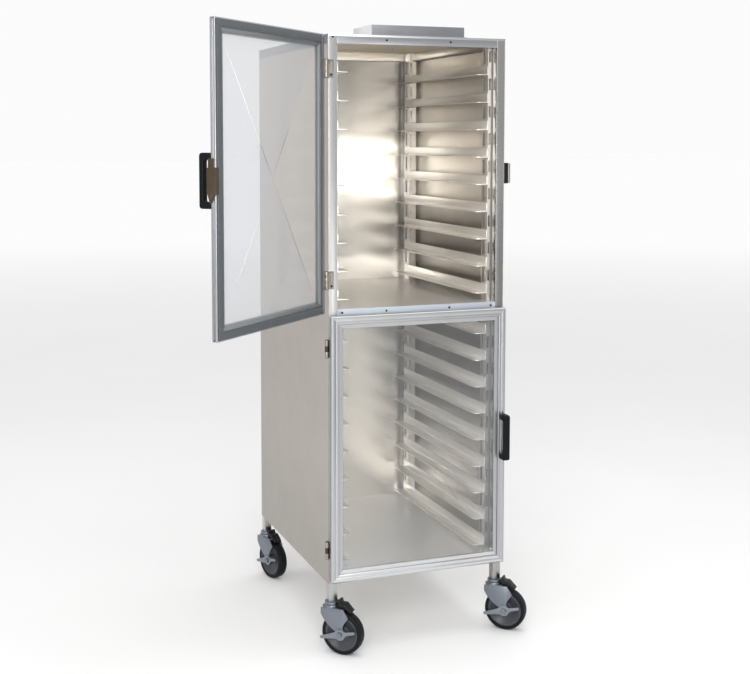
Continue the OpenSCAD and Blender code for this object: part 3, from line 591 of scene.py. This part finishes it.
one_slide = slide("slide")
slide_heights = [floor + FIRST_SLIDE + i * SLIDE_PITCH for floor in BAY_FLOORS for i in range(SLIDES)]
left = joined("left_pan_slides", [copied(one_slide, f"slide_{i}", shift(0, 0, z))
                                  for i, z in enumerate(slide_heights)])
right = faces_out(copied(left, "right_pan_slides", MIRRORED))
bpy.data.objects.remove(one_slide)
shown(left, "cabinet", slide_metal, ["left_slides"])
shown(right, "cabinet", slide_metal, ["right_slides"])

UPRIGHT_W, UPRIGHT_T, FLANGE, DEEP_FLANGE, RAIL_H = 38.0, 1.5, 13, 25, 25.4
UPRIGHT_YS = (-323.6, 284.0)
SLOT_ABOVE_SLIDE, WEB_SLOT_HALF, FLANGE_SLOT_HALF = 27, 21, 17


def upright(name, height):
    """A channel with slots between the slides, in its web and in its deeper front flange."""
    web = UPRIGHT_W - UPRIGHT_T
    channel = plate(name, [(-FLANGE, 0), (0, 0), (0, UPRIGHT_W), (-FLANGE, UPRIGHT_W), (-FLANGE, web),
                           (-UPRIGHT_T, web), (-UPRIGHT_T, UPRIGHT_T), (-FLANGE, UPRIGHT_T)], height)
    slots = []
    for i in range(SLIDES):
        z = FIRST_SLIDE + i * SLIDE_PITCH + SLIDE_H + SLOT_ABOVE_SLIDE
        slots.append(brick("slot", (-4, 19, z - WEB_SLOT_HALF), (4, 33, z + WEB_SLOT_HALF)))
        slots.append(brick("slot", (-9, -4, z - FLANGE_SLOT_HALF), (-2.5, 4, z + FLANGE_SLOT_HALF)))
    cut_by(channel, joined("slots", slots))
    flange = brick("flange", (-DEEP_FLANGE, 0.1, 1), (0.2 - FLANGE, UPRIGHT_T, height - RAIL_H - 2))
    return joined(name, [channel, flange])


for side, hand in (("left", MIRRORED), ("right", Matrix.Identity(4))):
    stands = []
    for low, high in zip(BAY_FLOORS, BAY_TOPS):
        one = upright("upright", high - low)
        for y in UPRIGHT_YS:
            foot = hand @ shift(LEG_FACE, y, low) @ MIRRORED
            stands.append(copied(one, f"{side}_upright_{len(stands)}", foot))
        bpy.data.objects.remove(one)
    channels = faces_out(joined(side + "_slotted_uprights", stands))
    shown(channels, "cabinet", channel_metal, [side + "_uprights"])

# ---------------------------------------------------------------- doors

DOOR_W, DOOR_T, BAND, LIP, LIP_BACK, LIP_FRONT = 560.0, 18.0, 25.0, 37.5, 11.0, 14.0
OUTER_R, INNER_R, LIP_R, LIP_EASE = 7, 2.4, 1.0, 0.5
# The groove round the door's edge, the fine one on its face, and the gap left at each mitre
GROOVE, GROOVE_LOW, GROOVE_HIGH = 4.5, 5.4, 10.4
LINE_IN, LINE_OUT, LINE_DEPTH = 14.8, 16.2, 0.35
MITRE_GAP = 0.08
DOOR_BACK, OPEN = -362.0, 137.0
HINGE = Vector(JOINTS["upper_door_hinge"]["pos_m"])


def door_place(which):
    """The matrix that puts a door drawn flat (across, up, outwards) where it stands at rest."""
    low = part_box(which + "_frame")[0]
    flat = Matrix.Translation((-HALF_W * MM, DOOR_BACK * MM, low.z)) @ STOOD_UP
    if which == "lower_door":
        return flat
    pin = Matrix.Translation((HINGE.x, HINGE.y, 0))
    return pin @ turn_z(-OPEN) @ pin.inverted() @ flat


def frame_member(name, length):
    """One side of a door frame along X: Y runs in from the door's edge and Z outwards. Its outer corner is a
    broad round, a lip steps in behind the band, and both ends are mitred."""
    step = LIP_FRONT - 1.2
    section = [(0.6, 0), (BAND, 0), (BAND, LIP_BACK), (LIP - LIP_EASE, LIP_BACK), (LIP, LIP_BACK + LIP_EASE)]
    section += [(LIP, LIP_FRONT - LIP_R)] + arc(LIP - LIP_R, LIP_FRONT - LIP_R, LIP_R, 0, 90, 3)[1:]
    section += [(BAND + 0.8, LIP_FRONT), (BAND + 0.8, step), (BAND, step), (BAND, DOOR_T - INNER_R)]
    section += arc(BAND - INNER_R, DOOR_T - INNER_R, INNER_R, 0, 90, 5)[1:]
    section += [(LINE_OUT, DOOR_T), (LINE_OUT - 0.4, DOOR_T - LINE_DEPTH),
                (LINE_IN + 0.4, DOOR_T - LINE_DEPTH), (LINE_IN, DOOR_T)]
    section += arc(OUTER_R, DOOR_T - OUTER_R, OUTER_R, 90, 180, 8)
    section += [(0, GROOVE_HIGH), (GROOVE, GROOVE_HIGH), (GROOVE, GROOVE_LOW), (0, GROOVE_LOW), (0, 0.6)]
    piece = plate(name, section, length)
    placed(piece, Matrix(((0, 0, 1, 0), (1, 0, 0, 0), (0, 1, 0, 0), (0, 0, 0, 1))))
    for end, away in ((MITRE_GAP, (-1, 1, 0)), (length - MITRE_GAP, (1, 1, 0))):
        open_mesh(piece)
        bpy.ops.mesh.bisect(plane_co=(end * MM, 0, 0), plane_no=away, use_fill=True, clear_outer=True)
        close_mesh()
    return eased_edges(faces_out(piece, merged=True), 0.3, 1, 40)


def door_frame(which, place, height, rail_metal):
    """Two rails and two stiles, mitred together."""
    rail, stile = frame_member("rail", DOOR_W), frame_member("stile", height)
    for part, mould, metal, way in (
        ("bottom_rail", rail, rail_metal, Matrix.Identity(4)),
        ("latch_stile", stile, door_z, shift(DOOR_W, 0, 0) @ turn_z(90)),
        ("top_rail", rail, rail_metal, shift(DOOR_W, height, 0) @ turn_z(180)),
        ("hinge_stile", stile, door_z, shift(0, height, 0) @ turn_z(-90)),
    ):
        member = copied(mould, f"{which}_{part}", place @ way)
        shown(member, which, metal, [which + "_frame"])
    for mould in (rail, stile):
        bpy.data.objects.remove(mould)


PANE_EDGE, PANE_T, PANE_RISE = BAND + 1, 3, 2.2


def door_window(which, place, height):
    """A sheet creased corner to corner, so that its four fields tilt a little; two of them are tinted as painted
    reflection, one cool and one warm.
    """
    pane = brick(which + "_creased_window", (PANE_EDGE, PANE_EDGE, LIP_BACK - PANE_T),
                 (DOOR_W - PANE_EDGE, height - PANE_EDGE, LIP_BACK))
    open_mesh(pane)
    for side in (1, -1):
        pick(pane, "FACE", lambda f: f.normal.z * side > FACING)
        bpy.ops.mesh.poke(offset=-PANE_RISE * side * MM, use_relative_offset=False)
    close_mesh()
    plain, cool_painted_reflection, warm_painted_reflection = fields[which]
    shown(pane, which, plain, [which + "_window"])

    def in_field(face, side):
        """Whether a face lies in the field towards one stile."""
        at = face.calc_center_median() / MM
        return (at.x - DOOR_W / 2) * side / DOOR_W > abs(at.y - height / 2) / height

    # The fields towards each stile take the tints of painted reflection
    faced(pane, cool_painted_reflection, lambda f: in_field(f, 1))
    faced(pane, warm_painted_reflection, lambda f: in_field(f, -1))
    placed(pane, place)


# Each crease line: the corner it runs to, where it starts and ends on the way there, half its width and
# its finish, a painted highlight or a painted shade
CREASES = {
    "upper_door": [(1, 1, 0.25, 0.92, 1.5, crease_highlight), (1, 1, 0.0, 0.25, 0.8, crease_shade),
                   (1, -1, 0.3, 0.72, 1.1, crease_highlight), (-1, -1, 0.0, 0.95, 0.7, crease_shade),
                   (-1, 1, 0.0, 0.42, 0.8, crease_shade)],
    "lower_door": [(1, -1, 0.0, 0.8, 0.4, crease_shade)],
}


def door_creases(which, place, height):
    """The crease lines on the window's inner face, painted highlights and painted shades, as slivers that taper at
    both ends.
    """
    inner_face = LIP_BACK - PANE_T
    middle = Vector((DOOR_W / 2, height / 2, inner_face - PANE_RISE))
    for i, (corner_x, corner_y, begin, end, half, finish) in enumerate(CREASES[which]):
        corner = Vector((LIP if corner_x < 0 else DOOR_W - LIP, LIP if corner_y < 0 else height - LIP,
                         inner_face))
        run = corner - middle
        begin, end = begin * run.length, end * run.length
        strip = brick(f"{which}_crease_{i}", (begin, -half, -0.25), (end, half, 0.05))
        open_mesh(strip)
        bpy.ops.mesh.bisect(plane_co=((begin * 0.4 + end * 0.6) * MM, 0, 0), plane_no=(1, 0, 0))
        for tip in (begin, end):
            pick(strip, "VERT", lambda v: abs(v.co.x - tip * MM) < 1e-5)
            bpy.ops.transform.resize(value=(1, 0.15, 0.3), center_override=(tip * MM, 0, 0))
        close_mesh()
        along = run.to_track_quat("X", "Z").to_matrix().to_4x4()
        placed(strip, place @ Matrix.Translation(middle * MM) @ along)
        shown(strip, which, finish)


for which, rail_metal, leaf_metal in (("upper_door", open_door_x, hinge_steel),
                                      ("lower_door", door_x_painted_light, dark_pin_steel)):
    low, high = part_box(which + "_frame")
    place, height = door_place(which), (high.z - low.z) / MM
    door_frame(which, place, height, rail_metal)
    door_window(which, place, height)
    door_creases(which, place, height)
    eased_copy(which + "_beads", 0.5, bead_metal, 1)
    eased_copy(which + "_gasket", 1.4, vinyl_and_painted_shade, 3)
    eased_copy(which + "_handle", 2.6, nylon, 4)
    eased_copy(which + "_latch", 1.0, latch_plate, 2)
    eased_copy(which + "_hinge_leaves", 0.4, leaf_metal, 2)

BETWEEN_DOORS = 1.0
eased_copy("post_hinge_leaves", 0.4, hinge_steel, 2)
faced(eased_copy("hinge_pins", 0.8, pin_steel, 2), dark_pin_steel,
      lambda f: f.calc_center_median().z < BETWEEN_DOORS)
LEAF_FACE, LEAF_SCREW_X, LEAF_SCREW_DROP = -358.0, -270.5, 17
hinge_screws = [copied(one_screw, f"hinge_screw_{i}",
                       shift(LEAF_SCREW_X, LEAF_FACE, z - LEAF_SCREW_DROP) @ STOOD_UP @ turn_z(31 * i))
                for i, z in enumerate((1101.1, 1705.0))]
shown(joined("hinge_screw_heads", hinge_screws), "cabinet", screw_steel)

# ---------------------------------------------------------------- casters

eased_copy("caster_stems", 0.6, zinc_plate, 2)
WHEEL_R, TRAIL = 63.5, 37.0


def both_sides(loop):
    """A section and its mirror image below Z = 0, as one closed loop."""
    return loop + [(r, -z) for r, z in reversed(loop) if z]


def tyre_shape():
    """A moulded tread: rounded shoulders, a low crown and two fine mould lines."""
    half, bore, shoulder = 16.0, 52.5, 4.6
    loop = [(bore, -half), (WHEEL_R - 5, -half)]
    loop += arc(WHEEL_R - 5.2, -half + shoulder, shoulder, -90, -12, 6)
    loop += [(WHEEL_R - 0.15, -5.4), (WHEEL_R - 0.9, -5.0), (WHEEL_R - 0.9, -4.2), (WHEEL_R - 0.1, -3.8),
             (WHEEL_R, 0)]
    return turned("tyre", both_sides(loop), 96)


def hub_shape():
    """A moulded core: a rim with a stepped lip, a deep conical dish and a boss on the axle."""
    return turned("hub", both_sides([(4.85, -19.0), (11, -19.0), (13.6, -18.2), (15, -16.5), (16, -5.4),
                                     (19, -3.6), (24, -3.6), (26, -4.4), (44.5, -12.2), (46.5, -14.2),
                                     (48.5, -14.6), (51.4, -14.6), (52.45, -13.8)]), 72)


def lever_shape():
    """The brake's foot lever: a strap that swells round the axle, with a tapering front arm and a shorter
    rear one."""
    boss, tip = 17, 3
    outline = arc(0, 0, boss, 218, 322, 10) + curve((13.4, -10.5), (17, -5.8), (25, -5.2))[1:]
    outline += arc(46.8, -1.6, tip, -90, 0, 3) + arc(46.8, 1.6, tip, 0, 90, 3)
    outline += curve((25, 5.2), (17, 5.8), (13.4, 10.5))
    outline += arc(0, 0, boss, 38, 142, 10)[1:] + curve((-13.4, 10.5), (-20, 9), (-30, 7.8))[1:]
    outline += arc(-63.2, 1.4, tip, 90, 180, 3) + arc(-63.2, -1.4, tip, 180, 270, 3)
    outline += curve((-30, -7.8), (-20, -9), (-13.4, -10.5))[:-1]
    return eased_edges(plate("lever", outline, 2.5), 0.6, 2)


FORK_TOP, FORK_HALF, FORK_T, EAR_T = 138.7, 22.5, 3.0, 5.2


def fork_shape():
    """A stamped fork about its swivel axis: two legs with drawn-in sides, a crown with a round toe and a heel
    that runs down to the legs' shoulders, a ball race, and the axle bolt's head and nut."""
    leg = [(-26, FORK_TOP - 2), (-26.5, 120)] + curve((-26.5, 118), (-14, 92), (17, 73))
    leg += arc(TRAIL, WHEEL_R, 15.5, 150, 410, 20) + curve((46.4, 78), (41, 89), (60.5, 110))
    leg += [(61.5, 112), (46, FORK_TOP - 2)]
    side = placed(plate("fork_leg", leg, FORK_T), shift(0, FORK_HALF, 0) @ STOOD_UP)
    toe = arc(-6, 0, FORK_HALF, 90, 270, 14)[1:-1]
    crown = plate("crown", [(46, -FORK_HALF), (46, FORK_HALF), (-6, FORK_HALF)] + toe + [(-6, -FORK_HALF)],
                  FORK_T)
    placed(crown, shift(0, 0, FORK_TOP - FORK_T))
    stamping = [side, copied(side, "fork_leg_b", shift(0, FORK_T - 2 * FORK_HALF, 0)), crown]
    for y in (FORK_HALF, EAR_T - FORK_HALF):
        ear = plate("ear", [(44.5, FORK_TOP - 1.2), (46, FORK_TOP), (63, 113.4), (61.5, 111.6)], EAR_T)
        stamping.append(placed(ear, shift(0, y, 0) @ STOOD_UP))
    race = turned("cup", [(9, FORK_TOP - 0.5), (23, FORK_TOP - 0.5), (23, FORK_TOP + 3.2),
                          (21.6, FORK_TOP + 5.6), (19, FORK_TOP + 7), (9, FORK_TOP + 7)], 48)
    bolt = []
    for side_way, proud in ((1, 0.2), (-1, 3.2)):
        head = plate("bolt_head", arc(0, 0, 8.5, 0, 360, 6)[:-1], 5)
        facing = Matrix.Rotation(math.radians(-90 * side_way), 4, "X")
        bolt.append(placed(head, shift(TRAIL, side_way * (FORK_HALF + proud), WHEEL_R) @ facing))
    body = eased_edges(joined("fork", stamping), 0.9, 2)
    for head in bolt:
        eased_edges(head, 0.8, 2)
    return joined("fork", [body, race] + bolt)


LEVER_PLANE, LEVER_TILT = -22.8, -15
tyre, hub, lever, fork = tyre_shape(), hub_shape(), lever_shape(), fork_shape()
for corner in ("front_left", "front_right", "rear_left", "rear_right"):
    post = Vector(JOINTS[corner + "_swivel_turn"]["pos_m"])
    axle = Vector(JOINTS[corner + "_wheel_spin"]["pos_m"])
    trailing = math.degrees(math.atan2(axle.y - post.y, axle.x - post.x))
    stand = Matrix.Translation((post.x, post.y, 0)) @ turn_z(trailing)
    at_axle = stand @ shift(TRAIL, 0, WHEEL_R)
    tilted = Matrix.Rotation(math.radians(LEVER_TILT), 4, "Y")
    for mould, name, at, body, finish, slot, node in (
        (tyre, "_tread", at_axle @ STOOD_UP, "_wheel", tread_rubber, "tyre", "_tyre"),
        (hub, "_core", at_axle @ STOOD_UP, "_wheel", core_plastic, "hub_plastic", "_hub"),
        (fork, "_stamped_fork", stand, "_swivel", zinc_plate, "caster_steel", "_fork"),
        (lever, "_foot_lever", at_axle @ shift(0, LEVER_PLANE, 0) @ tilted @ STOOD_UP, "_brake", lever_steel,
         "lever_steel", "_brake_lever"),
    ):
        shown(copied(mould, corner + name, at), corner + body, finish, [corner + node])
    eased_copy(corner + "_brake_housing", 1.6, housing_plastic, 3)
for mould in (tyre, hub, lever, fork, one_screw):
    bpy.data.objects.remove(mould)

# ---------------------------------------------------------------- room, lights and camera

# Matt painted floor: far from the cabinet it turns as pale as the room, so that no line shows where they meet
ROOM_SEEN, FLOOR_LIFT, LIFT_FROM, LIFT_TO, FLOOR_SIZE = 0.97, 0.28, 1.0, 14.0, 160
floor_mat, t, place = fresh("matt_studio_floor")
mottle = add(t, "ShaderNodeTexNoise", {"Vector": place}, {"Scale": 1.5, "Detail": 3.0})
tone = add(t, "ShaderNodeMix", {"Factor": mottle.outputs["Fac"]},
           {6: linear("#F3F3F2"), 7: linear("#F8F8F7")}, data_type="RGBA")
away = add(t, "ShaderNodeVectorMath", {0: place}, operation="LENGTH")
lift = add(t, "ShaderNodeMapRange", {"Value": away.outputs["Value"]},
           {"From Min": LIFT_FROM, "From Max": LIFT_TO, "To Max": FLOOR_LIFT})
seen = add(t, "ShaderNodeLightPath").outputs["Is Camera Ray"]
lit = add(t, "ShaderNodeMath", {0: lift.outputs[0], 1: seen}, operation="MULTIPLY")
paint = add(t, "ShaderNodeBsdfPrincipled",
            {"Base Color": tone.outputs[2], "Emission Strength": lit.outputs[0]},
            {"Roughness": 0.7, "Emission Color": (1, 1, 1, 1)})
finish_off(t, paint)
nothing_selected()
bpy.ops.mesh.primitive_plane_add(size=FLOOR_SIZE, location=(0, 0, 0))
floor = bpy.context.object
floor.name = "studio_floor"
floor.data.materials.append(floor_mat)

# A pale room that is dimmer low down in front of the cabinet, where the studio is dark
world = bpy.data.worlds.new("soft_room")
bpy.context.scene.world = world
world.use_nodes = True
w = world.node_tree
w.nodes.clear()
way = add(w, "ShaderNodeSeparateXYZ", {0: add(w, "ShaderNodeTexCoord").outputs["Generated"]})
ahead = add(w, "ShaderNodeMapRange", {"Value": way.outputs[1]}, {"From Min": -0.25, "From Max": -0.75})
low_down = add(w, "ShaderNodeMapRange", {"Value": way.outputs[2]}, {"From Min": 0.75, "From Max": 0.3})
dim = add(w, "ShaderNodeMath", {0: ahead.outputs[0], 1: low_down.outputs[0]}, operation="MULTIPLY")
room = add(w, "ShaderNodeMix", {"Factor": dim.outputs[0]},
           {6: (0.78, 0.78, 0.79, 1), 7: (0.45, 0.45, 0.455, 1)}, data_type="RGBA")
seen = add(w, "ShaderNodeLightPath").outputs["Is Camera Ray"]
backdrop = add(w, "ShaderNodeMix", {"Factor": seen, 6: room.outputs[2]},
               {7: (ROOM_SEEN, ROOM_SEEN, ROOM_SEEN, 1)}, data_type="RGBA")
glow = add(w, "ShaderNodeBackground", {"Color": backdrop.outputs[2]}, {"Strength": 1.0})
add(w, "ShaderNodeOutputWorld", {"Surface": glow.outputs[0]})


def softbox(name, place, aim, size, power, only=()):
    """A wide soft lamp that looks at a point. With only, it lights just those pieces, and nothing else shades
    them from it."""
    lamp = bpy.data.lights.new(name, "AREA")
    lamp.shape, lamp.size, lamp.size_y, lamp.energy = "RECTANGLE", size[0], size[1], power
    holder = bpy.data.objects.new(name, lamp)
    bpy.context.scene.collection.objects.link(holder)
    holder.location = place
    holder.rotation_euler = (Vector(aim) - Vector(place)).to_track_quat("-Z", "Y").to_euler()
    holder.visible_camera = False
    if only:
        lit = bpy.data.collections.new(name + "_lights")
        for piece in only:
            lit.objects.link(bpy.data.objects[piece])
        holder.light_linking.receiver_collection = lit
        holder.light_linking.blocker_collection = lit


softbox("key_softbox", (-1.6, -3.6, 2.9), (0, 0, 0.9), (2.0, 1.6), 40)
softbox("top_softbox", (0.2, -0.4, 3.6), (0, 0, 0.9), (2.6, 2.6), 45)
softbox("bay_softbox", (1.7, -3.75, 1.31), (1.7, 0.35, 1.31), (1.0, 0.38), 7, ["back_panel_eased"])
softbox("post_softbox", (0.85, -3.75, 0.95), (-0.27, -0.36, 1.2), (0.3, 0.9), 3.2)
for name, power, only in (
    ("inside_softbox", 30, ["divider_shelf_eased", "roof_panel_eased", "rear_rails_eased"]),
    ("pan_softbox", 48, ["floor_pan_eased"]),
    ("slide_softbox", 38, ["left_pan_slides", "right_pan_slides"]),
):
    softbox(name, (-0.5, -2.4, 1.3), (0.1, 0.3, 1.0), (0.8, 0.8), power, only)
softbox("side_softbox", (-2.3, -3.5, 1.3), (0.2, 0.2, 1.3), (1.2, 0.9), 30)
softbox("near_softbox", (-0.8, -2.5, 1.7), (0.15, 0.3, 1.1), (0.7, 0.8), 9)

YAW, PITCH = math.radians(20.20), math.radians(4.33)
eye = bpy.data.cameras.new("camera")
camera = bpy.data.objects.new("camera", eye)
bpy.context.scene.collection.objects.link(camera)
camera.location = (-1.41594, -3.65029, 1.50414)
look = Vector((math.sin(YAW) * math.cos(PITCH), math.cos(YAW) * math.cos(PITCH), -math.sin(PITCH)))
camera.rotation_mode = "QUATERNION"
camera.rotation_quaternion = look.to_track_quat("-Z", "Y")
eye.sensor_width, eye.lens = 36, 58.63536
eye.shift_x, eye.shift_y = 0.02908, -0.14
eye.clip_end = 300
bpy.context.scene.camera = camera
bpy.context.scene.view_settings.view_transform = "Standard"
